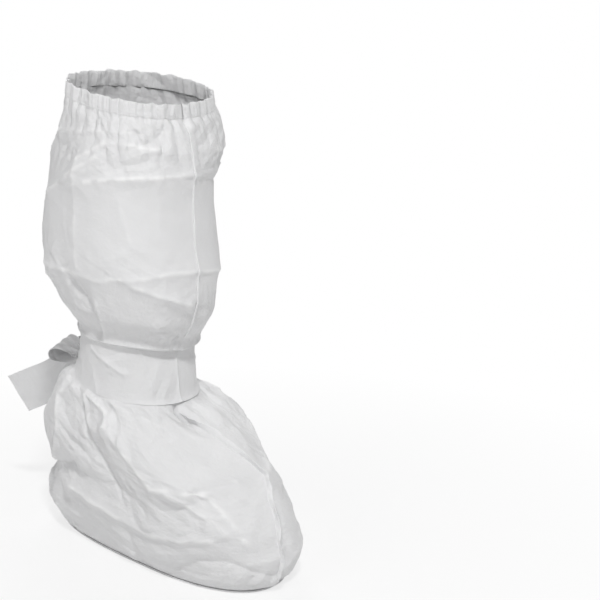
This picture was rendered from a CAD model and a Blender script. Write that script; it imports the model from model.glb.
# Knee-high shoe cover of white nonwoven, as it is worn: side panels, sole, gathered hem, seams and ankle tie.
import math
import random

import bpy
import numpy as np
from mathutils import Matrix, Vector


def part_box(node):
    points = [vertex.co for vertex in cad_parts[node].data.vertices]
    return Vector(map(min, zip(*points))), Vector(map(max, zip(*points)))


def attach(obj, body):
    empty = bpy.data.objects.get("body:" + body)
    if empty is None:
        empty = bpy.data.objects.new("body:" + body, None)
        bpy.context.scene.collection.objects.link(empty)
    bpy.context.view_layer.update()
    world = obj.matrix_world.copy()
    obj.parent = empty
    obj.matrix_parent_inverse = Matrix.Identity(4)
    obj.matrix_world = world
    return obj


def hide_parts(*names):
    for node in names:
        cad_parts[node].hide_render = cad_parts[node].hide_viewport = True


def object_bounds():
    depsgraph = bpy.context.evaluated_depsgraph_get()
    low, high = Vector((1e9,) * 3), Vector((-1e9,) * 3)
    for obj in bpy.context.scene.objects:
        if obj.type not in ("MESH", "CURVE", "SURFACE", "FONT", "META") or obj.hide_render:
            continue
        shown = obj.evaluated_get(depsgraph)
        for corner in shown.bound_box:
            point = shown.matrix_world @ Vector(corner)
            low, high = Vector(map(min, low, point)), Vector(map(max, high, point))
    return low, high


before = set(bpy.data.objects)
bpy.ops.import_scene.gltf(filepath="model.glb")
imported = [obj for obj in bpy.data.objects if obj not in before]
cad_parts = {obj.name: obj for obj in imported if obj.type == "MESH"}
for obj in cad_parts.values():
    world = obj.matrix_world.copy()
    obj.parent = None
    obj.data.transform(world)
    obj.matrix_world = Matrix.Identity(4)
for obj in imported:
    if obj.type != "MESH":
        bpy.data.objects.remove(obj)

cadBox = [list(corner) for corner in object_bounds()]
mm = 0.001


def smooth(low, high, value):
    t = np.clip((value - low) / (high - low), 0, 1)
    return t * t * (3 - 2 * t)


# Share that grows from 0 to 1 between a and b and fades again between c and d
def band(value, a, b, c, d):
    return smooth(a, b, value) * (1 - smooth(c, d, value))


# Bell-shaped share, 1 at its middle
def bell(value, middle, reach):
    return np.exp(-(((value - middle) / reach) ** 2))


def unit(vectors):
    return vectors / np.linalg.norm(vectors, axis=-1, keepdims=True)


# Length along a line of points, from 0 at its start
def runLength(points):
    return np.concatenate([[0], np.cumsum(np.linalg.norm(np.diff(points, axis=0), axis=1))])


# Distance of places on the fabric from a straight line between two points, and a value over 0 above the line
def fromLine(x, y, start, end):
    dx, dy = end[0] - start[0], end[1] - start[1]
    x, y = x - start[0], y - start[1]
    t = np.clip((x * dx + y * dy) / (dx * dx + dy * dy), 0, 1)
    return np.hypot(x - t * dx, y - t * dy), y * abs(dx) - x * dy * (1 if dx > 0 else -1)


# The zones of the cover and their sizes in mm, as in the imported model
zones = {
    "foot": {"base": 0, "height": 170, "front": 206, "back": 143, "outer": 73.5, "inner": 82},
    "ankle": {"base": 170, "height": 55, "front": 63, "back": 84, "outer": 59, "inner": 59},
    "leg": {"base": 225, "height": 241, "front": 86, "back": 102, "outer": 82, "inner": 88},
}
# Each section: zone, height share, front, back, widest place, outer and inner reach as shares of the zone's
# sizes, roundness of toe and heel, and the rise towards the back
sections = {
    "sole": ("foot", 0, 0.92, 0.82, 0.38, 0.69, 0.77, 2.3, 2.6, 0),
    "welt": ("foot", 0.06, 0.98, 0.91, 0.38, 0.8, 0.9, 2.4, 2.6, 0),
    "heelCup": ("foot", 0.17, 1, 0.97, 0.37, 0.87, 0.96, 2.45, 2.6, 0),
    "quarter": ("foot", 0.31, 0.985, 0.93, 0.34, 0.9, 0.985, 2.45, 2.6, 0),
    "shoeLine": ("foot", 0.43, 0.945, 0.85, 0.3, 0.915, 1, 2.4, 2.5, 0),
    "vampLow": ("foot", 0.54, 0.87, 0.95, 0.23, 0.97, 1, 2.3, 2.4, 0),
    "vampMiddle": ("foot", 0.68, 0.745, 1, 0.13, 1, 1, 2.1, 2.3, 0),
    "vampTop": ("foot", 0.8, 0.6, 0.91, 0.04, 0.96, 0.99, 2, 2.2, 0),
    "instep": ("foot", 0.915, 0.46, 0.7, -0.02, 0.86, 0.95, 2, 2.1, 0.05),
    "tieLow": ("ankle", 0, 1, 0.96, -0.16, 1, 1, 2.1, 2.1, 0.12),
    "tieMiddle": ("ankle", 0.45, 0.9, 0.8, -0.08, 0.95, 0.93, 2.1, 2.1, 0.12),
    "tieTop": ("ankle", 1, 0.87, 0.76, -0.06, 0.95, 0.93, 2.1, 2.1, 0.12),
    "tuck": ("leg", 0.02, 0.68, 0.67, -0.05, 0.73, 0.67, 2.1, 2.1, 0.12),
    "lip": ("leg", -0.01, 0.77, 0.67, -0.05, 0.77, 0.71, 2.2, 2.2, 0.12),
    "sagLow": ("leg", 0.035, 0.85, 0.7, -0.06, 0.82, 0.745, 2.2, 2.2, 0.12),
    "sag": ("leg", 0.12, 0.93, 0.77, -0.07, 0.87, 0.77, 2.3, 2.3, 0.12),
    "calfLow": ("leg", 0.29, 1, 0.92, -0.09, 0.97, 0.785, 2.3, 2.4, 0.12),
    "calf": ("leg", 0.456, 1, 0.98, -0.09, 0.985, 0.8, 2.3, 2.4, 0.12),
    "calfTop": ("leg", 0.675, 0.975, 0.87, -0.06, 0.91, 0.8, 2.2, 2.4, 0.12),
    "shoulder": ("leg", 0.86, 1, 0.75, 0, 0.85, 0.97, 2.2, 2.3, 0.14),
    "neck": ("leg", 0.94, 0.955, 0.72, 0.02, 0.82, 1, 2.1, 2.2, 0.16),
    "rim": ("leg", 1, 0.87, 0.71, 0.02, 0.78, 0.94, 2, 2.1, 0.17),
}
level = {name: number for number, name in enumerate(sections)}
topLevel = len(sections) - 1


def sectionLengths(zone, up, front, back, widest, outer, inner, toeRound, heelRound, tilt):
    size = zones[zone]
    lengths = [size["base"] + up * size["height"], front * size["front"], back * size["back"]]
    lengths += [-widest * size["front"], outer * size["outer"], inner * size["inner"]]
    return lengths + [toeRound, heelRound, tilt]


sectionTable = np.array([sectionLengths(*row) for row in sections.values()])


# Section at any place between two rows of the table, on a smooth curve through them
def sectionAt(v):
    k = min(int(v), topLevel - 1)
    t = v - k
    a, b = sectionTable[k], sectionTable[k + 1]
    slopeA = (b - sectionTable[max(k - 1, 0)]) / 2
    slopeB = (sectionTable[min(k + 2, topLevel)] - a) / 2
    bend, twist = 3 * (b - a) - 2 * slopeA - slopeB, 2 * (a - b) + slopeA + slopeB
    return a + slopeA * t + bend * t**2 + twist * t**3


arcAngles = np.linspace(0, math.pi, 361)


# Half a section from the front seam to the back seam, at the given shares of its length
def halfSection(side, v, shares):
    z, front, back, widest, outer, inner, toeRound, heelRound, tilt = sectionAt(v)
    c, s = np.cos(arcAngles), np.sin(arcAngles)
    power = 2 / np.where(c > 0, toeRound, heelRound)
    reach = np.where(c > 0, front + widest, back - widest)
    y = widest - np.sign(c) * np.abs(c) ** power * reach
    x = (-outer if side == "outer" else inner) * np.abs(s) ** power
    along = runLength(np.stack([x, y], 1))
    xs, ys = [np.interp(shares * along[-1], along, line) for line in (x, y)]
    return np.stack([xs, ys, z + tilt * ys], 1)


# Way up the fabric from the sole, measured at mid side
levelSteps = np.linspace(0, topLevel, topLevel * 24 + 1)
middleLine = np.array([halfSection("outer", v, np.array([0.5]))[0] for v in levelSteps])
riseSteps = runLength(middleLine)
fullRise = riseSteps[-1]
flatGirth = 283  # half girth of the fabric laid flat


def riseOf(name, beyond=0):
    return float(np.interp(level[name] + beyond, levelSteps, riseSteps))


# Rings of points up the cover. Each runs from the front seam over the outer side, the back seam and the inner
# side; round counts 0 to 1 over the outer side and 1 to 2 over the inner one.
def ringsAt(rises, halfColumns):
    shares = np.linspace(0, 1, halfColumns + 1)
    rings = []
    for v in np.interp(rises, riseSteps, levelSteps):
        outer, inner = halfSection("outer", v, shares), halfSection("inner", v, shares)
        rings.append(np.concatenate([outer, inner[-2:0:-1]]))
    return np.array(rings)


def ringNormals(points):
    around = np.roll(points, -1, 1) - np.roll(points, 1, 1)
    return unit(np.cross(np.gradient(points, axis=0), around))


# Points of a ring grid at any rise and round, moved out along its normals
def onGrid(grid, rise, around, out=0):
    points, normals = grid
    rows, columns = points.shape[:2]
    i = np.clip(np.asarray(rise) / fullRise * (rows - 1), 0, rows - 1.0001)
    j = (np.asarray(around) % 2) / 2 * columns
    i, j = np.broadcast_arrays(i, j)
    i0, j0 = i.astype(int), j.astype(int) % columns
    fi, fj = (i - i0)[..., None], (j - j.astype(int))[..., None]
    j1 = (j0 + 1) % columns

    def mix(field):
        low = field[i0, j0] * (1 - fj) + field[i0, j1] * fj
        high = field[i0 + 1, j0] * (1 - fj) + field[i0 + 1, j1] * fj
        return low * (1 - fi) + high * fi

    return mix(points) + unit(mix(normals)) * np.asarray(out)[..., None]


# Places on a ring grid and the directions out of it there
def surfaceAt(grid, rise, around):
    base = onGrid(grid, rise, around)
    return base, onGrid(grid, rise, around, 1) - base


# Way round from a seam: the front seam is at 0 and the back seam at 1
def fromSeam(around, at):
    return np.abs((around - at + 1) % 2 - 1)


# Smooth random field over the rings that closes on itself, from -1 to 1
def fieldNoise(shape, cellsUp, cellsRound, seed):
    knots = np.random.default_rng(seed).uniform(-1, 1, (cellsUp + 3, cellsRound))
    up = np.linspace(0, cellsUp, shape[0])
    around = np.linspace(0, cellsRound, shape[1], endpoint=False)
    i, j = up.astype(int), around.astype(int)
    fi, fj = smooth(0, 1, up - i)[:, None], smooth(0, 1, around - j)[None, :]
    low = knots[i][:, j] * (1 - fj) + knots[i][:, (j + 1) % cellsRound] * fj
    high = knots[i + 1][:, j] * (1 - fj) + knots[i + 1][:, (j + 1) % cellsRound] * fj
    return low * (1 - fi) + high * fi


# Creases of the worn cloth: a path of points as round (minus is the inner side) and share of the rise, height
# in mm, and how far the flank above and the flank below reach in mm
creases = {
    "gatherV": ([(0.24, 0.97), (0.212, 0.942), (0.15, 0.965), (0.116, 0.984)], -3.5, 5, 7),
    "rimFold": ([(0.676, 0.93), (0.4, 0.96), (0.248, 0.968)], 2.4, 6, 8),
    "arch": ([(0.492, 0.894), (0.364, 0.942), (0.244, 0.944), (0.116, 0.938)], 4.3, 8, 14),
    "shoulder": ([(0.66, 0.81), (0.612, 0.826), (0.484, 0.874), (0.392, 0.91)], 4.6, 10, 16),
    "knee": ([(0.42, 0.858), (0.372, 0.866), (0.212, 0.884), (0, 0.889)], 5.7, 15, 34),
    "kneeInner": ([(-0.1, 0.872), (-0.2, 0.862), (-0.4, 0.868)], -3.2, 9, 26),
    "shoulderInner": ([(-0.12, 0.93), (-0.25, 0.925), (-0.42, 0.93)], 3, 12, 12),
    "leftFacet": ([(0.49, 0.93), (0.476, 0.86), (0.452, 0.69)], 2.6, 22, 26),
    "shin": ([(0.688, 0.667), (0.456, 0.675), (0.348, 0.673), (0.308, 0.685), (0.232, 0.687), (0.112, 0.701),
              (-0.004, 0.699), (-0.12, 0.689)], 3.6, 24, 12),
    "shinDiagonal": ([(0.236, 0.677), (0.152, 0.659), (0.032, 0.637)], 5, 20, 12),
    "shinShort": ([(0.116, 0.651), (0.028, 0.627)], 2.7, 8, 8),
    "lowLegValley": ([(0.5, 0.655), (0.455, 0.63), (0.44, 0.59), (0.445, 0.55), (0.46, 0.52)], -4.6, 12, 9),
    "lowLegRidge": ([(0.4, 0.62), (0.405, 0.575), (0.43, 0.53)], 3, 7, 7),
    "lensBack": ([(0.528, 0.372), (0.532, 0.327), (0.472, 0.301), (0.388, 0.311)], 4.3, 7, 10),
    "lensFront": ([(0.496, 0.37), (0.408, 0.343), (0.388, 0.311)], 4.6, 6, 8),
    "ankleValley": ([(0.56, 0.34), (0.496, 0.297), (0.476, 0.238), (0.48, 0.174)], -5.9, 10, 13),
    "vampRidge": ([(0.388, 0.311), (0.324, 0.257), (0.296, 0.21), (0.224, 0.212),
                   (0.168, 0.206)], 4.8, 24, 17),
    "vampEnd": ([(0.168, 0.206), (0.104, 0.222), (0.052, 0.232)], 4.9, 9, 10),
    "vampDimple": ([(0.256, 0.166), (0.16, 0.2), (0.148, 0.196)], -3, 6, 6),
    "heel": ([(0.62, 0.368), (0.704, 0.335), (0.66, 0.279), (0.72, 0.22), (0.8, 0.172)], 6.8, 13, 18),
    "shoe": ([(0.7, 0.13), (0.528, 0.112), (0.38, 0.096), (0.264, 0.104), (0.168, 0.118)], 4.6, 14, 8),
    "heelNotch": ([(1, 0.165), (0.84, 0.162), (0.74, 0.17), (0.66, 0.19)], -6, 8, 8),
    "toeCrinkle": ([(0.132, 0.196), (0.108, 0.146), (0.084, 0.116)], 3.5, 8, 8),
    "toeRidge": ([(0.245, 0.203), (0.17, 0.165), (0.13, 0.13)], 3.2, 10, 12),
    "toeArc": ([(0.3, 0.03), (0.216, 0.068), (0.136, 0.078), (0.016, 0.04)], -3.4, 7, 16),
    "seamValley": ([(-0.05, 0.19), (-0.035, 0.13), (-0.02, 0.055)], -3.2, 4, 4),
    "tieHollow": ([(0.03, 0.38), (0.045, 0.352)], -12, 4.5, 5),
    "tieDiagonal": ([(0.36, 0.37), (0.3, 0.352), (0.22, 0.342)], 2, 8, 6),
    "innerVamp": ([(-0.42, 0.335), (-0.276, 0.317), (-0.18, 0.27), (-0.08, 0.232)], 4.3, 14, 16),
    "innerEdge": ([(-0.52, 0.93), (-0.56, 0.82), (-0.58, 0.7)], 4.3, 22, 26),
    "innerShin": ([(-0.12, 0.689), (-0.34, 0.68), (-0.6, 0.67)], 3, 22, 10),
    "innerLow": ([(-0.2, 0.66), (-0.42, 0.65), (-0.6, 0.61)], -4.6, 9, 10),
    "innerBack": ([(-0.7, 0.84), (-0.78, 0.74), (-0.87, 0.64)], 4.1, 16, 20),
    "backFold": ([(0.74, 0.9), (0.9, 0.8), (0.97, 0.7)], 4.3, 14, 18),
    "backLow": ([(0.62, 0.66), (0.85, 0.6), (0.99, 0.62)], 3.8, 18, 12),
    "innerPleat": ([(-0.34, 0.36), (-0.26, 0.3), (-0.3, 0.22)], 4.9, 9, 13),
    "innerValley": ([(-0.55, 0.37), (-0.5, 0.3), (-0.42, 0.25)], -5.7, 10, 12),
    "innerHeel": ([(-0.66, 0.36), (-0.72, 0.27), (-0.82, 0.19)], 5.9, 14, 18),
    "innerShoe": ([(-0.9, 0.15), (-0.7, 0.14), (-0.5, 0.115), (-0.32, 0.11)], 3.2, 24, 9),
    "innerToe": ([(-0.3, 0.06), (-0.2, 0.08), (-0.05, 0.07)], 2, 12, 9),
}
# Short random creases between the main ones, in mm; rises are shares
smallCreases = {
    "count": 120, "rises": (0.03, 0.98), "length": (14, 55), "lift": (0.4, 1.4), "reach": (3.5, 12),
    "seed": 11,
}


def addSmallCreases(settings):
    dice = random.Random(settings["seed"])
    for number in range(settings["count"]):
        start = (dice.uniform(-1, 1), dice.uniform(*settings["rises"]))
        turn = dice.uniform(0, math.pi)
        length = dice.uniform(*settings["length"])
        end = (start[0] + math.cos(turn) * length / flatGirth, start[1] + math.sin(turn) * length / fullRise)
        lift = dice.uniform(*settings["lift"]) * dice.choice((1, 1, -1))
        reaches = [dice.uniform(*settings["reach"]) for _ in range(2)]
        creases[f"small{number}"] = ([start, end], lift, *reaches)


addSmallCreases(smallCreases)

# The thin sharp fold along a crease's crest, as a share of its height, and the cloth whitened along it. A
# crease as high as fullWear is as white as can be.
crestFold = {"roundness": 0.4, "share": 0.18, "reach": 2.2, "wearReach": 2.2, "fullWear": 4.5}
farAway = 1e9


# Height of all creases over a grid, each with wide flanks and a crest fold, and how white they are worn
def creaseLift(rises, around, settings):
    lift = np.zeros(around.shape)
    worn = np.zeros(around.shape)
    for path, height, reachAbove, reachBelow in creases.values():
        nearest = np.full(lift.shape, farAway)
        above = np.zeros(lift.shape)
        for stretch in zip(path, path[1:]):
            middle = (stretch[0][0] + stretch[1][0]) / 2
            across = ((around - middle + 1) % 2 - 1 + middle) * flatGirth
            start, end = [(x * flatGirth, y * fullRise) for x, y in stretch]
            distance, side = fromLine(across, rises[:, None], start, end)
            above = np.where(distance < nearest, side, above)
            nearest = np.minimum(distance, nearest)
        reach = np.where(above > 0, reachAbove, reachBelow)
        away = np.hypot(nearest, settings["roundness"]) - settings["roundness"]
        lift += height * (np.exp(-away / reach) + settings["share"] * np.exp(-away / settings["reach"]))
        if height > 0:
            white = min(height / settings["fullWear"], 1)
            worn = np.maximum(worn, white * bell(nearest, 0, settings["wearReach"]))
    return lift, worn


# Uneven waves round the cover: gathers under the hem and pleats below the tie. Fade is how fast they end.
gathers = {"perHalf": 19, "depth": 4.2, "reach": (9, 34), "fade": 1.4, "seed": 5}
pleats = {"perHalf": 12, "depth": 3.2, "reach": (8, 30), "fade": 1.2, "seed": 8}


# The waves round a grid, at their full depth at a line across the cloth and fading away from it
def unevenWaves(away, around, settings):
    dice = np.random.default_rng(settings["seed"])
    count = 2 * settings["perHalf"]
    knots = np.cumsum(dice.uniform(0.5, 1.5, count))
    phase = np.interp(around, np.concatenate([[0], knots / knots[-1] * 2]), np.arange(count + 1))
    number = np.minimum(phase.astype(int), count - 1)
    depth = dice.uniform(0.4, 1, count)[number] * settings["depth"]
    reach = dice.uniform(*settings["reach"], count)[number]
    wave = np.abs(np.sin(np.pi * phase)) ** 0.8 * depth
    return (wave - wave.mean()) * np.exp(-((away[:, None] / reach) ** settings["fade"]))


tieLowRise, tieTopRise = riseOf("tieLow"), riseOf("tieTop")
lipRise, sagRise = riseOf("lip"), riseOf("sag")

# The front seam wanders a little to both sides: round against share of the rise
seamPath = [(0, 0), (0.004, 0.034), (0.004, 0.12), (-0.01, 0.188), (-0.034, 0.228), (-0.014, 0.265),
            (0.012, 0.29), (0.036, 0.33), (0.02, 0.373), (0, 0.4), (0, 1)]
seamPull = 0.14  # how far round the cloth goes along with it


def wandered(rises, around):
    offsets, shares = zip(*seamPath)
    shift = np.interp(rises / fullRise, shares, offsets)[:, None]
    return around + shift * bell(fromSeam(around, 0), 0, seamPull)


# The leg over the tie: drawn in by a share and lifted at its lip in mm, most at the outer front
sagging = {"drawnIn": 0.105, "up": 2.5, "frontUp": 5, "front": (0.26, 0.22)}
# Places where the cloth stands off the model's form: up and out in mm, with the middle and the reach of each
# place round the cover and up the cloth. It puffs out above the heel, and the foot's inner front is slimmer.
bulges = {
    "heelPuff": {"up": 6, "out": 7, "round": (0.8, 0.17), "rise": (tieLowRise - 14, 17)},
    "innerFront": {"up": 0, "out": -4.5, "round": (1.8, 0.2), "rise": (0.17 * fullRise, 0.14 * fullRise)},
}


# The worn cloth before it settles, with its gathers and pleats
def gatheredCloth(rows, halfColumns):
    rises = np.linspace(0, fullRise, rows)
    around = np.linspace(0, 2, 2 * halfColumns, endpoint=False)
    points = ringsAt(rises, 4 * halfColumns)
    points = onGrid((points, ringNormals(points)), rises[:, None], wandered(rises, around))
    sag = band(rises, riseOf("tuck", -0.1), lipRise, lipRise + 6, sagRise + 12)[:, None]
    points[..., :2] *= 1 - sagging["drawnIn"] * sag[..., None]
    points[..., 2] += sag * (sagging["up"] + sagging["frontUp"] * bell(around, *sagging["front"]))
    normals = ringNormals(points)
    below = tieLowRise - rises
    nearKnot = 0.35 + 0.65 * smooth(0.35, 0.8, fromSeam(around, 0))
    lift = unevenWaves(fullRise - rises, around, gathers)
    lift += unevenWaves(np.maximum(below, 0), around, pleats) * smooth(0, 7, below)[:, None] * nearKnot
    for bulge in bulges.values():
        share = bell(around, *bulge["round"]) * bell(rises, *bulge["rise"])[:, None]
        points[..., 2] += bulge["up"] * share
        lift += bulge["out"] * share
    return points + normals * lift[..., None], rises, around


def meshFrom(name, vertices, faces):
    mesh = bpy.data.meshes.new(name)
    mesh.vertices.add(len(vertices))
    mesh.vertices.foreach_set("co", np.asarray(vertices, dtype=np.float32).ravel())
    faces = np.asarray(faces, dtype=np.int32)
    mesh.loops.add(faces.size)
    mesh.loops.foreach_set("vertex_index", faces.ravel())
    mesh.polygons.add(len(faces))
    mesh.polygons.foreach_set("loop_start", np.arange(len(faces), dtype=np.int32) * faces.shape[1])
    mesh.update(calc_edges=True)
    return mesh


def vertexPlaces(mesh):
    places = np.empty(len(mesh.vertices) * 3, dtype=np.float32)
    mesh.vertices.foreach_get("co", places)
    return places.reshape(-1, 3)


def newObject(name, data):
    made = bpy.data.objects.new(name, data)
    bpy.context.scene.collection.objects.link(made)
    return made


# Quads of a grid of rows and columns; a closed grid joins its last column to its first
def gridQuads(rows, columns, closed=False, first=0):
    i, j = np.meshgrid(np.arange(rows - 1), np.arange(columns if closed else columns - 1), indexing="ij")
    k = (j + 1) % columns
    quads = np.stack([i * columns + j, (i + 1) * columns + j, (i + 1) * columns + k, i * columns + k], -1)
    return quads.reshape(-1, 4) + first


# The cloth settles under its own slack: more of it near the tie and the hem, held at its edges. The physics
# values are those of Blender's cloth.
settling = {
    "frames": 30, "looseHold": 0.12, "slack": 0.045, "slackElsewhere": 0.2, "slackReach": 22, "gravity": 0.3,
    "physics": {
        "quality": 5, "mass": 0.12, "tension_stiffness": 18, "compression_stiffness": 18,
        "shear_stiffness": 8, "bending_stiffness": 0.6, "air_damping": 6, "pin_stiffness": 1.6,
        "vertex_group_mass": "hold", "vertex_group_shrink": "slack",
    },
}


def settledCloth(points, rises, settings):
    rows, columns = points.shape[:2]
    mesh = meshFrom("settling", points.reshape(-1, 3) * mm, gridQuads(rows, columns, True))
    sheet = newObject("settling", mesh)
    edges = (1 - smooth(0, 16, rises)) + smooth(fullRise - 8, fullRise, rises)
    atTie = band(rises, tieLowRise - 8, tieLowRise, lipRise, lipRise + 14)
    hold = settings["looseHold"] + (1 - settings["looseHold"]) * np.clip(edges + atTie, 0, 1)
    nearTie = np.exp(-np.abs(rises - tieLowRise) / settings["slackReach"])
    nearHem = np.exp(-(fullRise - rises) / settings["slackReach"])
    elsewhere = settings["slackElsewhere"]
    slack = elsewhere + (1 - elsewhere) * np.clip(nearTie + nearHem, 0, 1)
    for name, weights in (("hold", hold), ("slack", slack)):
        group = sheet.vertex_groups.new(name=name)
        for row, weight in enumerate(weights):
            ring = range(row * columns, (row + 1) * columns)
            group.add(list(ring), float(min(weight, 1)), "REPLACE")
    modifier = sheet.modifiers.new("Cloth", "CLOTH")
    for label, value in settings["physics"].items():
        setattr(modifier.settings, label, value)
    modifier.settings.shrink_max = -settings["slack"]
    modifier.settings.effector_weights.gravity = settings["gravity"]
    modifier.collision_settings.use_collision = False
    modifier.point_cache.frame_start = 1
    modifier.point_cache.frame_end = settings["frames"]
    scene = bpy.context.scene
    for number in range(1, settings["frames"] + 1):
        scene.frame_set(number)
    settled = sheet.evaluated_get(bpy.context.evaluated_depsgraph_get())
    places = vertexPlaces(settled.to_mesh())
    settled.to_mesh_clear()
    scene.frame_set(1)
    bpy.data.objects.remove(sheet)
    bpy.data.meshes.remove(mesh)
    return places.reshape(rows, columns, 3).astype(float) / mm


# Twice as many rows and columns, on a smooth curve through the old ones
def finer(points):
    around = (9 * (points + np.roll(points, -1, 1)) - np.roll(points, 1, 1) - np.roll(points, -2, 1)) / 16
    wide = np.stack([points, around], 2).reshape(points.shape[0], -1, 3)
    padded = np.concatenate([2 * wide[:1] - wide[1:2], wide, 2 * wide[-1:] - wide[-2:-1]])
    between = (9 * (padded[1:-2] + padded[2:-1]) - padded[:-3] - padded[3:]) / 16
    tall = np.empty((2 * len(wide) - 1, *wide.shape[1:]))
    tall[0::2], tall[1::2] = wide, between
    return tall


# Fine crumples: short faint creases in random directions, each kind seen only in its own patches
crumples = {"kinds": 12, "spacing": (9, 30), "depth": 0.034, "roundness": 0.12, "warp": 0.9, "seed": 21}


def crumpleLift(rises, around, settings):
    dice = np.random.default_rng(settings["seed"])
    shape = (len(rises), len(around))
    lift = np.zeros(shape)
    for kind in range(settings["kinds"]):
        spacing = dice.uniform(*settings["spacing"])
        turn = dice.uniform(0, math.pi)
        waves = round(math.cos(turn) * 2 * flatGirth / spacing)  # whole waves, so that the pattern closes
        phase = around * waves / 2 + rises[:, None] * math.sin(turn) / spacing
        phase += settings["warp"] * fieldNoise(shape, 9, 10, 100 + kind)
        ridge = 1 - np.hypot(2 * np.abs(phase - np.round(phase)), settings["roundness"])
        patch = smooth(0.1, 0.75, fieldNoise(shape, 14, 16, 200 + kind))
        lift += ridge * patch * spacing * settings["depth"]
    return lift


# Facets: flat faces between straight folds, as in crumpled paper. Each place belongs to its nearest centre,
# and the face slopes down to the edge between that and the next one.
facets = {"count": 260, "slope": 0.17, "most": 2.4, "stretch": 0.7, "sink": 1.5, "warp": 9, "seed": 27}


def facetLift(rises, around, settings):
    dice = np.random.default_rng(settings["seed"])
    shape = (len(rises), len(around))
    x = around * flatGirth + settings["warp"] * fieldNoise(shape, 16, 18, 301)
    y = (rises[:, None] + settings["warp"] * fieldNoise(shape, 16, 18, 302)) * settings["stretch"]
    centresX = dice.uniform(0, 2 * flatGirth, settings["count"])
    centresY = dice.uniform(-10, fullRise * settings["stretch"] + 10, settings["count"])
    # each of these is a distance and the way there over x and y
    nearest = [np.full(shape, farAway), np.zeros(shape), np.zeros(shape)]
    second = list(nearest)
    for centreX, centreY in zip(centresX, centresY):
        dx = (x - centreX + flatGirth) % (2 * flatGirth) - flatGirth
        dy = y - centreY
        this = [np.hypot(dx, dy), dx, dy]
        isNearest = this[0] < nearest[0]
        isSecond = ~isNearest & (this[0] < second[0])
        kept = [np.where(isSecond, new, old) for new, old in zip(this, second)]
        second = [np.where(isNearest, old, other) for old, other in zip(nearest, kept)]
        nearest = [np.where(isNearest, new, old) for new, old in zip(this, nearest)]
    apart = np.hypot(nearest[1] - second[1], nearest[2] - second[2])
    toEdge = (second[0] ** 2 - nearest[0] ** 2) / (2 * apart + 1e-6)
    patch = smooth(-0.35, 0.5, fieldNoise(shape, 9, 10, 303))
    return np.minimum(toEdge * settings["slope"], settings["most"]) * patch - settings["sink"]


# How much of the settling stays off the leg's middle, which hangs smooth as it was cut, and off the foot
stillness = {"leg": 0.85, "foot": 0.7}
gridRows, gridHalf = 146, 74
cloth, rises, around = gatheredCloth(gridRows, gridHalf)
print("sections and creases ready, rise", round(fullRise), "mm")
print("tie from", round(tieLowRise), "to", round(tieTopRise), "mm")
settled = settledCloth(cloth, rises, settling)
still = stillness["leg"] * band(rises / fullRise, 0.44, 0.56, 0.86, 0.95)
still += stillness["foot"] * (1 - smooth(tieLowRise - 10, tieLowRise, rises))
cloth += (settled - cloth) * (1 - still)[:, None, None]
print("cloth settled")
cloth = finer(cloth)
rises = np.linspace(0, fullRise, cloth.shape[0])
around = np.linspace(0, 2, cloth.shape[1], endpoint=False)

# The panels rise to a ridge where they meet, in mm; the foot's share is added below the tie
ridges = {
    "front": {"at": 0, "height": 1.2, "footHeight": 1.8, "reach": 5, "footReach": 4},
    "back": {"at": 1, "height": 0.8, "footHeight": 0.8, "reach": 6, "footReach": 0},
}
ridgeRoundness = 0.8


def seamRidge(rises, around):
    foot = (1 - smooth(tieLowRise - 30, tieLowRise, rises))[:, None]
    lift = 0
    for ridge in ridges.values():
        away = np.hypot(fromSeam(around, ridge["at"]) * flatGirth, ridgeRoundness)
        height = ridge["height"] + ridge["footHeight"] * foot
        lift = lift + height * np.exp(-away / (ridge["reach"] + ridge["footReach"] * foot))
    return lift


# Creases and crumples, crisp on the settled cloth. The leg's smooth middle loses a share of the crumples and
# facets, and a low fold, in mm, stands along the lip over the tie.
crispness = {"crumplesLost": 0.55, "facetsLost": 0.6, "lipFold": 3, "lipAbove": 2.5, "lipReach": 2.8}


def crispLift(rises, around, settings):
    ends = band(rises, 0, 9, fullRise - 12, fullRise)
    bare = 1 - band(rises, tieLowRise - 5, tieLowRise + 3, lipRise + 1, lipRise + 16)
    calm = band(rises / fullRise, 0.42, 0.6, 0.84, 0.92)[:, None]
    lift, worn = creaseLift(rises, wandered(rises, around), crestFold)
    lift += seamRidge(rises, around)
    lift += crumpleLift(rises, around, crumples) * (1 - settings["crumplesLost"] * calm)
    lift += facetLift(rises, around, facets) * (1 - settings["facetsLost"] * calm)
    shown = (ends * bare)[:, None]
    fromLip = np.hypot(rises - lipRise - settings["lipAbove"], 0.3)
    lift = lift * shown + settings["lipFold"] * np.exp(-fromLip / settings["lipReach"])[:, None]
    patchy = smooth(-0.5, 0.3, fieldNoise(lift.shape, 60, 64, 304))
    return lift, worn * shown * patchy


lift, foldWear = crispLift(rises, around, crispness)
cloth = cloth + ringNormals(cloth) * lift[..., None]
clothGrid = (cloth, ringNormals(cloth))
form = ringsAt(rises, cloth.shape[1] // 2)
formGrid = (form, ringNormals(form))


# Lays the fabric over a mesh: its coordinates in metres at each vertex become the UV map
def layFabric(mesh, places):
    corners = np.empty(len(mesh.loops), dtype=np.int32)
    mesh.loops.foreach_get("vertex_index", corners)
    layer = mesh.uv_layers.new(name="fabric")
    layer.data.foreach_set("uv", places[corners].astype(np.float32).ravel())


# Fabric coordinates of a grid, from those of its columns and of its rows
def fabricGrid(across, up):
    return np.stack(np.broadcast_arrays(across[None, :], up[:, None]), -1)


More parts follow.
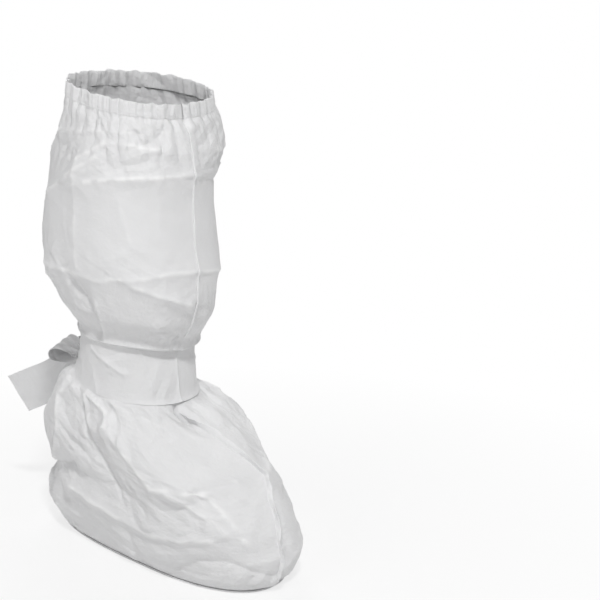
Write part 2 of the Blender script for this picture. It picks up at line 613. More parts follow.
# A closed sheet between two grids of points in mm
def sheetPiece(name, face, back, fabricPlace=None):
    rows, columns = face.shape[:2]
    count = rows * columns
    low, left = np.arange(columns - 1), np.arange(rows - 1) * columns
    high, right = low + (rows - 1) * columns, left + columns - 1
    rims = [(low, low + 1), (high + 1, high), (left + columns, left), (right, right + columns)]
    faces = [gridQuads(rows, columns), gridQuads(rows, columns, first=count)[:, ::-1]]
    faces += [np.stack([a, b, b + count, a + count], 1) for a, b in rims]
    points = np.concatenate([face.reshape(-1, 3), back.reshape(-1, 3)])
    mesh = meshFrom(name, points * mm, np.concatenate(faces))
    if fabricPlace is None:
        fabricPlace = fabricGrid(runLength(face[rows // 2]), runLength(face[:, columns // 2]))
    layFabric(mesh, np.concatenate([fabricPlace.reshape(-1, 2)] * 2) * mm)
    mesh.shade_smooth()
    mesh.set_sharp_from_angle(angle=math.radians(55))
    return newObject(name, mesh)


def finishPiece(piece, finish, node):
    piece.data.materials.append(materials[finish])
    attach(piece, "root")
    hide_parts(node)
    return piece


# Each input of a node takes a value, or a link from another node's output
def setInputs(tree, node, inputs):
    for socket, value in inputs.items():
        if isinstance(value, bpy.types.NodeSocket):
            tree.links.new(value, node.inputs[socket])
        else:
            node.inputs[socket].default_value = value


def newNode(tree, kind, inputs=None, **options):
    node = tree.nodes.new(kind)
    for label, value in options.items():
        setattr(node, label, value)
    setInputs(tree, node, inputs or {})
    return node


def mathNode(tree, operation, *values):
    return newNode(tree, "ShaderNodeMath", dict(enumerate(values)), operation=operation).outputs[0]


# A node group with named inputs and outputs, and the sockets that its inputs come from
def newGroup(name, kind, inputs, outputs):
    group = bpy.data.node_groups.new(name, kind)
    for direction, sockets in (("INPUT", inputs), ("OUTPUT", outputs)):
        for label, socketKind in sockets.items():
            group.interface.new_socket(label, in_out=direction, socket_type="NodeSocket" + socketKind)
    return group, group.nodes.new("NodeGroupInput").outputs


# Bonded nonwoven: a lattice of small bond points, fine fibres between them and slow changes of shade. Creping
# keeps the cloth from being quite flat. Scales are in waves per metre and heights in metres.
nonwoven = {
    "bondDepth": 0.8, "bondShade": 0.25, "fibres": 900, "clouds": 26, "bends": 22, "bendDepth": 0.02,
    "crinklePatches": 0.28, "patchEdge": (0.55, 0.72), "creping": 230, "crepingHeight": 0.0011,
}
# Crinkles are straight folds in several directions, each kind in its own patches
crinkleKinds = [
    {"turn": 0.3, "period": 0.017, "slope": 0.22, "patches": 0},
    {"turn": 1.2, "period": 0.013, "slope": 0.22, "patches": 3},
    {"turn": 2.1, "period": 0.019, "slope": 0.24, "patches": 7},
    {"turn": 2.7, "period": 0.011, "slope": 0.2, "patches": 11},
    {"turn": 0.8, "period": 0.008, "slope": 0.12, "patches": 17},
    {"turn": 1.8, "period": 0.0065, "slope": 0.1, "patches": 23},
]


def bondedFabricGroup(settings):
    inputs = {"Place": "Vector", "Pitch": "Float", "Pale": "Color", "Dark": "Color", "Gloss": "Float",
              "Matt": "Float"}
    outputs = {"Colour": "Color", "Roughness": "Float", "Height": "Float", "Crinkle": "Float"}
    group, entry = newGroup("bondedFabric", "ShaderNodeTree", inputs, outputs)

    def calc(operation, *values):
        return mathNode(group, operation, *values)

    def noise(scale, detail, more=None, **options):
        sockets = {"Vector": entry["Place"], "Scale": scale, "Detail": detail} | (more or {})
        return newNode(group, "ShaderNodeTexNoise", sockets, **options).outputs[0]

    place = newNode(group, "ShaderNodeSeparateXYZ", {0: entry["Place"]})
    u, v = [calc("DIVIDE", place.outputs[axis], entry["Pitch"]) for axis in (0, 1)]
    lattice = [calc("SINE", calc("MULTIPLY", calc(way, u, v), math.pi)) for way in ("ADD", "SUBTRACT")]
    bond = calc("POWER", calc("ABSOLUTE", calc("MULTIPLY", *lattice)), 3)
    fibres = noise(settings["fibres"], 3)
    bend = noise(settings["bends"], 1)
    crinkle = calc("MULTIPLY", noise(settings["creping"], 3, {"Roughness": 0.6}), settings["crepingHeight"])
    patchFrom, patchTo = settings["patchEdge"]
    for kind in crinkleKinds:
        period = kind["period"]
        direction = (math.cos(kind["turn"]) / period, math.sin(kind["turn"]) / period, 0)
        ways = {0: entry["Place"], 1: direction}
        across = newNode(group, "ShaderNodeVectorMath", ways, operation="DOT_PRODUCT")
        bent = calc("MULTIPLY", bend, settings["bendDepth"] / period)
        fold = calc("PINGPONG", calc("ADD", across.outputs["Value"], bent), 0.5)
        patch = noise(settings["crinklePatches"] / period, 1, {"W": kind["patches"]}, noise_dimensions="4D")
        sockets = {"Value": patch, "From Min": patchFrom, "From Max": patchTo}
        shown = newNode(group, "ShaderNodeMapRange", sockets)
        height = calc("MULTIPLY", calc("MULTIPLY", fold, kind["slope"] * period), shown.outputs[0])
        crinkle = calc("ADD", crinkle, height)
    relief = calc("SUBTRACT", calc("MULTIPLY", fibres, 0.5), calc("MULTIPLY", bond, settings["bondDepth"]))
    shade = calc("ADD", calc("MULTIPLY", noise(settings["clouds"], 4), 0.6), calc("MULTIPLY", fibres, 0.4))
    shade = calc("SUBTRACT", shade, calc("MULTIPLY", bond, settings["bondShade"]))
    colour = newNode(group, "ShaderNodeMix", {0: shade, 6: entry["Dark"], 7: entry["Pale"]}, data_type="RGBA")
    roughness = newNode(group, "ShaderNodeMix", {0: bond, 2: entry["Matt"], 3: entry["Gloss"]})
    newNode(group, "NodeGroupOutput", {"Colour": colour.outputs[2], "Roughness": roughness.outputs[0],
                                       "Height": relief, "Crinkle": crinkle})
    return group


fabricGroup = bondedFabricGroup(nonwoven)
# Shades and gloss of each cloth, the pitch of its bond points in metres, the strength of its relief and how
# much of the crinkles it shows. Smooth leg: the leg's middle has fewer of them than the foot and the gathers.
finishes = {
    "coverFabric": {"slot": "fabric", "pale": 0.9, "dark": 0.8, "gloss": 0.34, "matt": 0.52,
                    "pitch": 0.0013, "bump": 0.6, "crinkled": 1, "smoothLeg": True},
    "seamFabric": {"slot": "seam_fabric", "pale": 0.93, "dark": 0.84, "gloss": 0.36, "matt": 0.55,
                   "pitch": 0.0013, "bump": 0.5, "crinkled": 0.6, "smoothLeg": False},
    "strapFabric": {"slot": "strap_fabric", "pale": 0.88, "dark": 0.79, "gloss": 0.36, "matt": 0.54,
                    "pitch": 0.0013, "bump": 0.6, "crinkled": 0.6, "smoothLeg": False},
    "soleFabric": {"slot": "sole_fabric", "pale": 0.87, "dark": 0.78, "gloss": 0.26, "matt": 0.42,
                   "pitch": 0.0016, "bump": 0.5, "crinkled": 0.7, "smoothLeg": False},
    "sewingThread": {"slot": "seam_fabric", "pale": 0.95, "dark": 0.88, "gloss": 0.4, "matt": 0.5,
                     "pitch": 0.0008, "bump": 0.3, "crinkled": 0, "smoothLeg": False},
}
reliefHeight = 0.0004
foldWhite = (0.985, 0.985, 0.985, 1)
smoothLeg = {"middle": 0.39, "half": 0.04, "end": 0.085, "strength": 0.3}  # metres up the fabric


def fabricMaterial(name, finish):
    material = bpy.data.materials.new(name)
    material.use_nodes = True
    tree = material.node_tree
    place = newNode(tree, "ShaderNodeUVMap", uv_map="fabric").outputs[0]
    pale, dark = finish["pale"], finish["dark"]
    fabric = newNode(tree, "ShaderNodeGroup", {
        "Place": place, "Pitch": finish["pitch"], "Pale": (pale, pale, pale * 1.004, 1),
        "Dark": (dark, dark, dark * 1.008, 1), "Gloss": finish["gloss"], "Matt": finish["matt"],
    }, node_tree=fabricGroup).outputs
    wear = newNode(tree, "ShaderNodeAttribute", attribute_name="foldWear").outputs["Fac"]
    whitened = newNode(tree, "ShaderNodeMix", {0: wear, 6: fabric["Colour"], 7: foldWhite}, data_type="RGBA")
    strength = 1
    if finish["smoothLeg"]:
        up = newNode(tree, "ShaderNodeSeparateXYZ", {0: place}).outputs[1]
        fromMiddle = mathNode(tree, "ABSOLUTE", mathNode(tree, "SUBTRACT", up, smoothLeg["middle"]))
        strength = newNode(tree, "ShaderNodeMapRange", {
            "Value": fromMiddle, "From Min": smoothLeg["half"], "From Max": smoothLeg["end"],
            "To Min": smoothLeg["strength"],
        }, interpolation_type="SMOOTHSTEP").outputs[0]
    folds = newNode(tree, "ShaderNodeBump", {
        "Height": fabric["Crinkle"], "Strength": strength, "Distance": finish["crinkled"],
    })
    relief = newNode(tree, "ShaderNodeBump", {
        "Height": fabric["Height"], "Strength": finish["bump"], "Distance": reliefHeight,
        "Normal": folds.outputs[0],
    })
    setInputs(tree, tree.nodes["Principled BSDF"], {
        "Base Color": whitened.outputs[2], "Roughness": fabric["Roughness"], "Normal": relief.outputs[0],
        "Sheen Weight": 0.12, "Sheen Roughness": 0.4, "Specular IOR Level": 0.5,
    })
    return material


materials = {name: fabricMaterial(name, finish) for name, finish in finishes.items()}
print("materials ready")

# Side panels, joined at the front and back seams: the wall and the height of the lower edge in mm
panelSettings = {"wall": 0.5, "lowEdge": 0.3, "lowEdgeInside": 0.4}


def sidePanel(name, node, half, settings):
    points, normals = clothGrid
    columns = points.shape[1] // 2
    first = 0 if half == "outer" else 1
    order = (np.arange(columns + 1) + first * columns) % points.shape[1]
    face = points[:, order].copy()
    back = face - normals[:, order] * settings["wall"]
    face[0, :, 2] = settings["lowEdge"]
    back[0, :, 2] = settings["lowEdgeInside"]
    across = np.linspace(0, flatGirth, columns + 1) + first * flatGirth
    piece = sheetPiece(name, face, back, fabricGrid(across, rises))
    wear = piece.data.attributes.new("foldWear", "FLOAT", "POINT")
    wear.data.foreach_set("value", np.tile(foldWear[:, order].ravel(), 2).astype(np.float32))
    return finishPiece(piece, "coverFabric", node)


outerPanel = sidePanel("cover_panel_outer", "side_panel_outer", "outer", panelSettings)
innerPanel = sidePanel("cover_panel_inner", "side_panel_inner", "inner", panelSettings)

# Sole: a flat sheet whose sewn edge stands out a little all round, in mm
soleSettings = {
    "strips": 28, "top": 0.15, "thickness": 1.4, "edge": 1.8, "unevenness": 0.35, "dip": 0.2, "seed": 31,
}


def soleSheet(settings):
    ring, outward = formGrid[0][0], formGrid[1][0] * (1, 1, 0)
    ring = ring + unit(outward) * settings["edge"]
    half = len(ring) // 2
    left = ring[: half + 1]
    right = np.concatenate([ring[half:], ring[:1]])[::-1]
    share = np.linspace(0, 1, settings["strips"] + 1)
    face = left[:, None] * (1 - share[:, None]) + right[:, None] * share[:, None]
    wave = fieldNoise(face.shape[:2], 18, 9, settings["seed"]) * settings["unevenness"]
    wave *= band(share, 0, 0.1, 0.9, 1)
    face[..., 2] = settings["top"]
    lower = face.copy()
    lower[..., 2] += np.maximum(wave, -settings["dip"]) - settings["thickness"]
    return sheetPiece("cover_sole", face[:, ::-1], lower[:, ::-1])


sole = finishPiece(soleSheet(soleSettings), "soleFabric", "sole")

# Hem: a gathered casing with the elastic inside. Its profile goes round from the outer face of the panel: out
# in mm, up as a share of its height, and the share of the gathers that each place takes.
hemSettings = {
    "height": 13.5, "lean": 1.6, "columns": 720, "cinches": 118, "cinchDepth": 0.75, "ragged": 0.9,
    "seed": 43,
}
hemProfile = [
    (-0.15, -0.3, 1), (0.12, -0.14, 1.02), (0.45, 0.02, 1.05), (0.75, 0.14, 1.08), (0.7, 0.3, 1.1),
    (0.6, 0.46, 1.12), (0.6, 0.62, 1.15), (0.6, 0.8, 1.2), (0.45, 0.92, 1.25), (0.1, 0.99, 1.28),
    (-0.35, 1, 1.28), (-0.7, 0.94, 1.25), (-0.95, 0.8, 1.2), (-1.1, 0.6, 1.12), (-1, 0.3, 1.05),
    (-0.9, 0.05, 1), (-0.6, -0.2, 1),
]


def hemRing(settings):
    count = settings["columns"]
    where = np.linspace(0, 2, count, endpoint=False)
    form, out = surfaceAt(formGrid, fullRise, where)
    out = unit(out * (1, 1, 0))
    wave = ((onGrid(clothGrid, fullRise, where) - form) * out).sum(1)
    cinch = np.abs(np.sin(math.pi * settings["cinches"] * (where / 2 + 0.004 * np.sin(19 * where)))) - 0.6
    strong = 0.675 + 0.325 * fieldNoise((2, count), 1, 42, settings["seed"])[0]
    ragged = 0.15 * wave + settings["ragged"] * fieldNoise((2, count), 1, 66, settings["seed"] + 1)[0]
    tilt = sectionTable[-1][-1]
    loops = []
    for outward, up, ruffle in hemProfile:
        shift = outward - settings["lean"] * up + wave * ruffle
        shift = shift + cinch * strong * settings["cinchDepth"] * min(1, 1.6 * max(up, 0) + 0.3)
        ring = form + out * shift[:, None]
        ring[:, 2] = form[:, 2] + tilt * (ring[:, 1] - form[:, 1]) + up * (settings["height"] + ragged)
        loops.append(ring)
    quads = gridQuads(len(loops) + 1, count, True) % (len(loops) * count)
    mesh = meshFrom("cover_hem", np.concatenate(loops) * mm, quads)
    ups = runLength(np.array(hemProfile)[:, :2] * (1, settings["height"]))
    layFabric(mesh, fabricGrid(where * flatGirth, ups).reshape(-1, 2) * mm)
    mesh.shade_smooth()
    return newObject("cover_hem", mesh)


hem = finishPiece(hemRing(hemSettings), "coverFabric", "elastic_hem")
print("panels, sole and hem ready")

# Standing seams: the joined edges of the panels, folded together, with puckers. Sizes are in mm, and so are
# the spans up the cloth. The section gives shares of a seam's height, and of its thickness there.
footSpan = (riseOf("welt"), riseOf("instep", 0.7))
legSpan = (riseOf("sagLow", 0.5), fullRise - 3)
seams = {
    "cover_seam_front_foot": {"node": "front_seam_foot", "at": 0, "span": footSpan,
                              "height": 5.4, "thickness": 1, "sway": 2.6, "seed": 51},
    "cover_seam_front_leg": {"node": "front_seam_leg", "at": 0, "span": legSpan,
                             "height": 1.7, "thickness": 1.6, "sway": 0.4, "seed": 52},
    "cover_seam_back_foot": {"node": "back_seam_foot", "at": 1, "span": footSpan,
                             "height": 3, "thickness": 1.6, "sway": 0.9, "seed": 53},
    "cover_seam_back_leg": {"node": "back_seam_leg", "at": 1, "span": legSpan,
                            "height": 1.7, "thickness": 1.6, "sway": 0.4, "seed": 54},
}
seamSection = [(-0.25, 1), (0.15, 1), (0.4, 1), (0.62, 1), (0.8, 1), (0.93, 0.8), (1, 0.35)]
seamWork = {
    "step": 1.1, "longPucker": 13, "shortPucker": 5, "waves": 9, "waveDepth": 0.16,
    "stitchHeight": 0.42, "stitchLean": 0.3, "stitchOut": 0.12,
}
stitchLines = []


# Smooth random line from -1 to 1
def softNoise(count, cells, dice):
    knots = dice.uniform(-1, 1, cells + 3)
    at = np.linspace(0, cells, count)
    i = at.astype(int)
    f = smooth(0, 1, at - i)
    return knots[i] * (1 - f) + knots[i + 1] * f


def standingSeam(name, seam):
    first, last = seam["span"]
    length = last - first
    count = int(length / seamWork["step"])
    dice = np.random.default_rng(seam["seed"])
    base, up = surfaceAt(clothGrid, np.linspace(first, last, count), seam["at"])
    up = unit(up * (0.3, 1, 1))
    side = unit(np.cross(np.gradient(base, axis=0), up))
    full = band(np.linspace(0, 1, count), 0, 0.05, 0.95, 1)
    sizes = [int(length / seamWork[size]) for size in ("longPucker", "shortPucker", "waves")]
    sway, ripple, waves = [softNoise(count, cells, dice) for cells in sizes]
    sway = (seam["sway"] * (sway + 0.45 * ripple))[:, None]
    height = seam["height"] * (0.3 + 0.7 * full) * (1 + seamWork["waveDepth"] * waves)
    height = height[:, None]
    faces = []
    for direction in (-1, 1):
        lines = []
        for part, thickShare in seamSection:
            aside = sway * max(part, 0) ** 1.3 + direction * seam["thickness"] / 2 * thickShare
            lines.append(base + up * (height * part) + side * aside)
        faces.append(np.stack(lines, 1))
        aside = sway * seamWork["stitchLean"] + direction * (seam["thickness"] / 2 + seamWork["stitchOut"])
        stitchLines.append(base + up * (height * seamWork["stitchHeight"]) + side * aside)
    return finishPiece(sheetPiece(name, *faces), "seamFabric", seam["node"])


seamPieces = [standingSeam(name, seam) for name, seam in seams.items()]

# Tie: a flat strap round the ankle, drawn together towards the knot at the back. Lengths are in mm.
tie = {
    "length": 190, "width": 55, "thickness": 0.6, "stand": 0.9, "drawnFrom": 0.62, "gather": 0.36,
    "drawnOut": 2.2, "pleatDepth": 1.5, "pleats": 3.5, "uneven": 0.5, "frayedEdge": 0.25, "seed": 61,
}
# Wrinkles of the tie, from and to shares of its length and width, and the wide and the sharp part of each:
# height, roundness and reach in mm
tieWrinkles = [
    ((0.52, 0.8), (0.4, 0.66)), ((0.52, 0.78), (0.3, 0.5)), ((0.4, 0.66), (0.3, 0.5)),
    ((0.5, 0.35), (0.46, 0.08)), ((0.2, 0.92), (0.14, 0.25)), ((0.8, 0.3), (0.66, 0.75)),
]
wrinkleParts = [(0.7, 0.5, 6), (0.6, 0.3, 2)]
frontFold = {"height": 1.8, "reach": 2.2}
knotRise = riseOf("tieLow", 0.5)


def tieBand(name, node, half, settings):
    columns, rows = 220, 44
    q, share = np.linspace(0, 0.998, columns), np.linspace(0, 1, rows)[:, None]
    x, y = q * settings["length"], share * settings["width"]
    seed = settings["seed"] + (half == "inner")
    rise = tieLowRise + share * (tieTopRise + 3 - tieLowRise)
    drawn = smooth(settings["drawnFrom"], 0.94, q)
    height = rise + (knotRise - rise) * (1 - settings["gather"]) * drawn
    height += settings["frayedEdge"] * softNoise(columns, 24, np.random.default_rng(seed))
    folded = np.cos(2 * math.pi * settings["pleats"] * share + 2 * q)
    out = settings["stand"] + drawn * (settings["drawnOut"] + settings["pleatDepth"] * folded)
    out += settings["uneven"] * fieldNoise((rows, columns), 4, 16, seed + 3) * smooth(0, 0.1, share)
    for wrinkle in tieWrinkles:
        start, end = [(a * settings["length"], b * settings["width"]) for a, b in wrinkle]
        distance = fromLine(x, y, start, end)[0]
        for lift, roundness, reach in wrinkleParts:
            out += lift * np.exp(-np.hypot(distance, roundness) / reach)
    out += frontFold["height"] * np.exp(-x / frontFold["reach"])
    around = np.broadcast_to(q if half == "outer" else 2 - q, height.shape)
    faces = [onGrid(formGrid, height, around, stand) for stand in (out, out - settings["thickness"])]
    if half == "inner":
        faces = [face[:, ::-1] for face in faces]
    return finishPiece(sheetPiece(name, *faces), "strapFabric", node)


tieOuter = tieBand("tie_strap_outer", "tie_band_outer", "outer", tie)
tieInner = tieBand("tie_strap_inner", "tie_band_inner", "inner", tie)


# Strap folded along a path: its stops give the centre, the direction over its width, the width and the depth
# of the pleats
def strapAlong(name, stops, thickness, pleatCount, seed):
    rows, columns = 120, 36
    table = np.array([[*centre, *across, *sizes] for centre, across, *sizes in stops], dtype=float)
    at = np.linspace(0, len(stops) - 1, rows)
    k = np.minimum(at.astype(int), len(stops) - 2)
    t = (at - k)[:, None]
    p1, p2 = table[k], table[k + 1]
    p0, p3 = table[np.maximum(k - 1, 0)], table[np.minimum(k + 2, len(stops) - 1)]
    bend, twist = 2 * p0 - 5 * p1 + 4 * p2 - p3, 3 * p1 - p0 - 3 * p2 + p3
    line = 0.5 * (2 * p1 + (p2 - p0) * t + bend * t**2 + twist * t**3)
    centre, across, width, pleat = line[:, :3], unit(line[:, 3:6]), line[:, 6:7], line[:, 7:8]
    facing = unit(np.cross(np.gradient(centre, axis=0), across))
    share = np.linspace(-0.5, 0.5, columns)
    phase = np.random.default_rng(seed).uniform(0, 6) + 0.5 * np.sin(at[:, None] * 1.7)
    wave = (np.abs(np.sin(math.pi * pleatCount * share + phase)) - 0.5) * pleat
    wave += 0.7 * fieldNoise((rows, columns), 7, 4, seed + 1)
    wave += np.linspace(0, 1, rows)[:, None] * fieldNoise((rows, columns), 3, 3, seed + 2)
    middle = centre[:, None] + across[:, None] * (share * width)[..., None]
    faces = [middle + facing[:, None] * (wave + away)[..., None] for away in (thickness / 2, -thickness / 2)]
    return sheetPiece(name, *[face[:, ::-1] for face in faces])


knotLow, knotHigh = (np.array(corner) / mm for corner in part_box("tie_knot"))
loopLow, loopHigh = (np.array(corner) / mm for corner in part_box("tie_loop"))
knotCentre, loopCentre = (knotLow + knotHigh) / 2, (loopLow + loopHigh) / 2
print("knot at", knotCentre.round(), "loop at", loopCentre.round())


# Folds that run round the knot: direction, and their place, width and depth as shares of the knot's half size
knotFolds = [
    ((0.25, 0.1, 0.95), 0.3, 0.14, 0.17), ((0.35, -0.2, 0.9), -0.25, 0.12, 0.15),
    ((0.85, 0.1, -0.5), 0.05, 0.13, 0.14), ((0.8, 0.3, 0.5), 0.42, 0.1, 0.1),
]


# Knot: strap wound tight round itself, as a lump with deep folds
def knotWrap(centre, size):
    rows, columns = 72, 110
    turn = np.linspace(0, 2 * math.pi, columns, endpoint=False)
    slope = np.linspace(0.02, math.pi - 0.02, rows)[:, None]
    ball = [np.sin(slope) * np.cos(turn), np.sin(slope) * np.sin(turn), np.cos(slope) + 0 * turn]
    ball = np.stack(ball, -1)
    reach = 1 + 0.05 * np.sin(7 * ball[..., 2] + 3 * ball[..., 0])
    for direction, at, width, depth in knotFolds:
        reach -= depth * bell(ball @ direction, at, width)
    return ball * reach[..., None] * size / 2 + centre


def lumpPiece(name, points):
    rows, columns = points.shape[:2]
    vertices = np.concatenate([points.reshape(-1, 3), points[:1].mean(1), points[-1:].mean(1)]) * mm
    faces = gridQuads(rows, columns, True)[:, ::-1].tolist()
    top = rows * columns
    lastRow = top - columns
    for j in range(columns):
        k = (j + 1) % columns
        faces += [(top, j, k), (top + 1, lastRow + k, lastRow + j)]
    mesh = bpy.data.meshes.new(name)
    mesh.from_pydata(vertices.tolist(), [], faces)
    layFabric(mesh, np.stack([vertices[:, 0] + vertices[:, 1], vertices[:, 2]], 1))
    mesh.shade_smooth()
    return newObject(name, mesh)


knot = lumpPiece("tie_knot_wrap", knotWrap(knotCentre, knotHigh - knotLow))
finishPiece(knot, "strapFabric", "tie_knot")


# Loop of the bow: the strap leaves the knot, turns over and comes back below itself
def loopStops():
    cx, cy, cz = loopCentre
    root = cy - 19  # where the strap comes out of the knot
    return [
        ((cx + 4, root, cz + 5), (0.5, 0.1, 0.86), 13, 2.4),
        ((cx + 1, root + 10, cz + 9), (0.72, 0.1, 0.68), 21, 2),
        ((cx - 1, root + 24, cz + 10), (0.86, 0.1, 0.5), 24, 1.2),
        ((cx - 1, root + 35, cz + 6), (0.9, 0, 0.35), 24, 0.6),
        ((cx - 1, root + 39, cz - 2), (0.92, 0, 0.2), 24, 0.4),
        ((cx - 1, root + 34, cz - 9), (0.92, 0, 0.1), 24, 0.6),
        ((cx, root + 22, cz - 11), (0.9, 0, 0), 23, 1.2),
        ((cx + 2, root + 10, cz - 7), (0.85, 0, 0.2), 20, 2),
        ((cx + 4, root, cz - 2), (0.6, 0, 0.6), 13, 2.4),
    ]


loopStrap = {"thickness": 0.7, "pleatCount": 3, "seed": 71}
loop = strapAlong("tie_bow_loop", loopStops(), **loopStrap)
finishPiece(loop, "strapFabric", "tie_loop")

# Free ends: bunched at the knot, opening out flat to a square cut. The root is in mm from the knot's middle.
ends = {
    "tie_free_end_long": {"node": "tie_end_long", "root": (9.9, 7.6, 0), "along": (-0.31, 0.87, -0.39),
                          "across": (-0.48, 0.15, 0.97), "length": 124, "bow": (8, 0, 0), "seed": 81},
    "tie_free_end_short": {"node": "tie_end_short", "root": (12, 0, 0), "along": (0.58, 0.26, -0.77),
                           "across": (0.13, 0.13, 0.98), "length": 86, "bow": (18, 23, 8), "seed": 83},
}
endStrap = {"thickness": 0.6, "pleats": 4, "rootLift": 8}
# Share of the length, width and depth of the pleats in mm
endWidths = [(0, 17, 5.2), (0.1, 20, 4.8), (0.24, 29, 3.6), (0.42, 40, 1.8), (0.6, 47, 0.6), (0.8, 50, 0.2),
             (1, 50, 0)]
upwards = np.array([0, 0, 1.0])


def freeEnd(name, end):
    along, across = unit(np.array(end["along"])), unit(np.array(end["across"]))
    start = knotCentre + np.array(end["root"])
    stops = []
    for share, width, pleat in endWidths:
        turned = smooth(0, 0.6, share)
        upper = start + upwards * endStrap["rootLift"] * (1 - share) + along * end["length"] * share
        centre = upper - across * width / 2 * turned + np.array(end["bow"]) * math.sin(math.pi * share)
        stops.append((centre, upwards * (1 - turned) + across * turned, width, pleat))
    piece = strapAlong(name, stops, endStrap["thickness"], endStrap["pleats"], end["seed"])
    return finishPiece(piece, "strapFabric", end["node"])


endPieces = [freeEnd(name, end) for name, end in ends.items()]
print("seams, tie, knot and ends ready")

# Stitches, in mm: short threads in a row on both sides of the standing seams and under the hem's casing
stitch = {"pitch": 3.0, "length": 2.1, "thickness": 0.34, "hemOut": 1.5, "hemUp": 1.2}
hemLine, hemOut = surfaceAt(clothGrid, fullRise - 0.5, np.linspace(0, 2, 500))
stitchLines.append(hemLine + hemOut * stitch["hemOut"] + upwards * stitch["hemUp"])


def stitchTree():
    inputs = {"Geometry": "Geometry", "Pitch": "Float", "Length": "Float", "Thickness": "Float",
              "Thread": "Material"}
    tree, entry = newGroup("stitchRow", "GeometryNodeTree", inputs, {"Geometry": "Geometry"})
    curve = newNode(tree, "GeometryNodeMeshToCurve", {"Mesh": entry["Geometry"]}).outputs["Curve"]
    sockets = {"Curve": curve, "Length": entry["Pitch"]}
    steps = newNode(tree, "GeometryNodeResampleCurve", sockets, mode="LENGTH")
    radius = mathNode(tree, "MULTIPLY", entry["Thickness"], 0.5)
    thread = newNode(tree, "GeometryNodeMeshCylinder", {
        "Vertices": 6, "Side Segments": 1, "Radius": radius, "Depth": entry["Length"],
    })
    tangent = newNode(tree, "GeometryNodeInputTangent").outputs[0]
    turn = newNode(tree, "FunctionNodeAlignRotationToVector", {"Vector": tangent}, axis="Z")
    row = newNode(tree, "GeometryNodeInstanceOnPoints", {
        "Points": steps.outputs["Curve"], "Instance": thread.outputs["Mesh"], "Rotation": turn.outputs[0],
    })
    real = newNode(tree, "GeometryNodeRealizeInstances", {"Geometry": row.outputs["Instances"]})
    sockets = {"Geometry": real.outputs[0], "Material": entry["Thread"]}
    painted = newNode(tree, "GeometryNodeSetMaterial", sockets)
    newNode(tree, "NodeGroupOutput", {"Geometry": painted.outputs[0]})
    return tree


def stitchRows(settings):
    vertices, edges = [], []
    for line in stitchLines:
        first = len(vertices)
        vertices += (line * mm).tolist()
        edges += [(k, k + 1) for k in range(first, len(vertices) - 1)]
    mesh = bpy.data.meshes.new("stitchPaths")
    mesh.from_pydata(vertices, edges, [])
    paths = newObject("stitchPaths", mesh)
    modifier = paths.modifiers.new("Stitches", "NODES")
    modifier.node_group = stitchTree()
    values = {label: settings[label.lower()] * mm for label in ("Pitch", "Length", "Thickness")}
    values["Thread"] = materials["sewingThread"]
    for item in modifier.node_group.interface.items_tree:
        if item.in_out == "INPUT" and item.name in values:
            modifier[item.identifier] = values[item.name]
    evaluated = paths.evaluated_get(bpy.context.evaluated_depsgraph_get())
    made = bpy.data.meshes.new_from_object(evaluated)
    bpy.data.objects.remove(paths)
    made.name = "seam_stitches"
    while made.uv_layers:
        made.uv_layers.remove(made.uv_layers[0])
    layFabric(made, vertexPlaces(made)[:, 1:])
    made.shade_smooth()
    piece = newObject("seam_stitches", made)
    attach(piece, "root")
    return piece


stitches = stitchRows(stitch)
print("stitches:", len(stitches.data.polygons), "faces")

# Floor, light and camera. Near the cover the floor shows some of its own shading, and further off it goes
# over to plain white, from and to the distances in metres that glow gives.
stageSettings = {"reach": 6, "below": 0.0003, "shade": 0.9, "glow": (0.22, 0.7), "nearGlow": 0.72, "sky": 0.3}
lights = {
    "keyLight": {"place": (-1.3, -1.85, 3.25), "size": 0.35, "watts": 71},
    "leftLight": {"place": (-1.9, -0.1, 1.3), "size": 0.8, "watts": 5},
    "sideLight": {"place": (1.6, -1.0, 0.9), "size": 1.2, "watts": 2.5},
    "backLight": {"place": (1.3, 1.6, 1.5), "size": 1.0, "watts": 16},
}
lookAt = Vector((0, 0, 0.2))


def aim(thing, direction):
    thing.rotation_euler = direction.to_track_quat("-Z", "Y").to_euler()


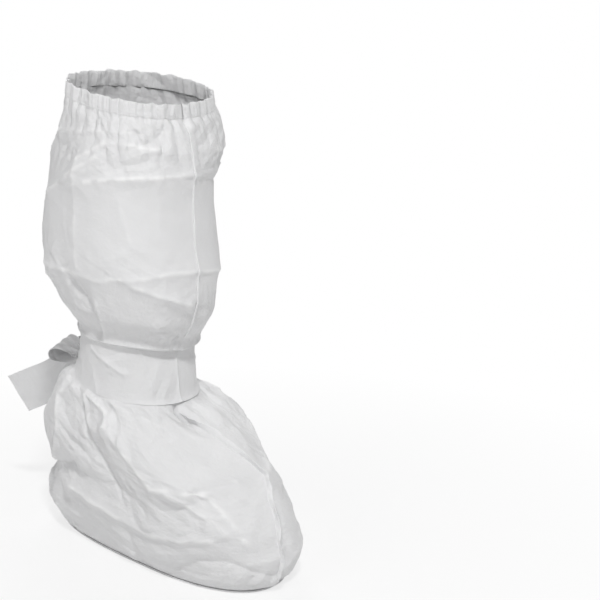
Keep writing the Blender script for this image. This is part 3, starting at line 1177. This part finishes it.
def paleFloor(settings):
    reach, shade, z = settings["reach"], settings["shade"], cadBox[0][2] - settings["below"]
    corners = [(-reach, -reach, z), (reach, -reach, z), (reach, reach, z), (-reach, reach, z)]
    floor = newObject("floor", meshFrom("floor", corners, [(0, 1, 2, 3)]))
    material = bpy.data.materials.new("paleFloor")
    material.use_nodes = True
    tree = material.node_tree
    tree.nodes.clear()
    place = newNode(tree, "ShaderNodeTexCoord").outputs["Object"]
    away = newNode(tree, "ShaderNodeVectorMath", {0: place}, operation="LENGTH").outputs["Value"]
    low, high = settings["glow"]
    glowing = newNode(tree, "ShaderNodeMapRange", {
        "Value": away, "From Min": low, "From Max": high, "To Min": settings["nearGlow"],
    })
    seen = newNode(tree, "ShaderNodeLightPath").outputs["Is Camera Ray"]
    share = mathNode(tree, "MULTIPLY", glowing.outputs[0], seen)
    lit = newNode(tree, "ShaderNodeBsdfDiffuse", {"Color": (shade, shade, shade, 1)})
    glow = newNode(tree, "ShaderNodeEmission")
    mix = newNode(tree, "ShaderNodeMixShader", {0: share, 1: lit.outputs[0], 2: glow.outputs[0]})
    newNode(tree, "ShaderNodeOutputMaterial", {0: mix.outputs[0]})
    floor.data.materials.append(material)


def paleStudio(settings):
    world = bpy.data.worlds.new("paleStudio")
    bpy.context.scene.world = world
    world.use_nodes = True
    tree = world.node_tree
    seen = newNode(tree, "ShaderNodeLightPath").outputs["Is Camera Ray"]
    strength = newNode(tree, "ShaderNodeMapRange", {"Value": seen, "To Min": settings["sky"], "To Max": 1})
    setInputs(tree, tree.nodes["Background"], {"Color": (1, 1, 1, 1), "Strength": strength.outputs[0]})
    for name, light in lights.items():
        data = bpy.data.lights.new(name, "AREA")
        data.size = light["size"]
        data.energy = light["watts"]
        lamp = newObject(name, data)
        lamp.location = light["place"]
        aim(lamp, lookAt - lamp.location)


# Camera at the photo's viewing angle: place in metres, angles in degrees, lens and sensor in mm
view = {"place": (-0.9536, -1.1883, 0.6093), "azimuth": -45, "elevation": 13, "lens": 90, "sensor": 36}


def placeCamera(settings):
    azimuth, elevation = math.radians(settings["azimuth"]), math.radians(settings["elevation"])
    flat = math.cos(elevation)
    ahead = Vector((-math.sin(azimuth) * flat, math.cos(azimuth) * flat, -math.sin(elevation)))
    data = bpy.data.cameras.new("camera")
    data.lens = settings["lens"]
    data.sensor_width = settings["sensor"]
    camera = newObject("camera", data)
    camera.location = settings["place"]
    aim(camera, ahead)
    bpy.context.scene.camera = camera
    bpy.context.scene.view_settings.view_transform = "Standard"


paleFloor(stageSettings)
paleStudio(stageSettings)
placeCamera(view)
print("cad", cadBox)
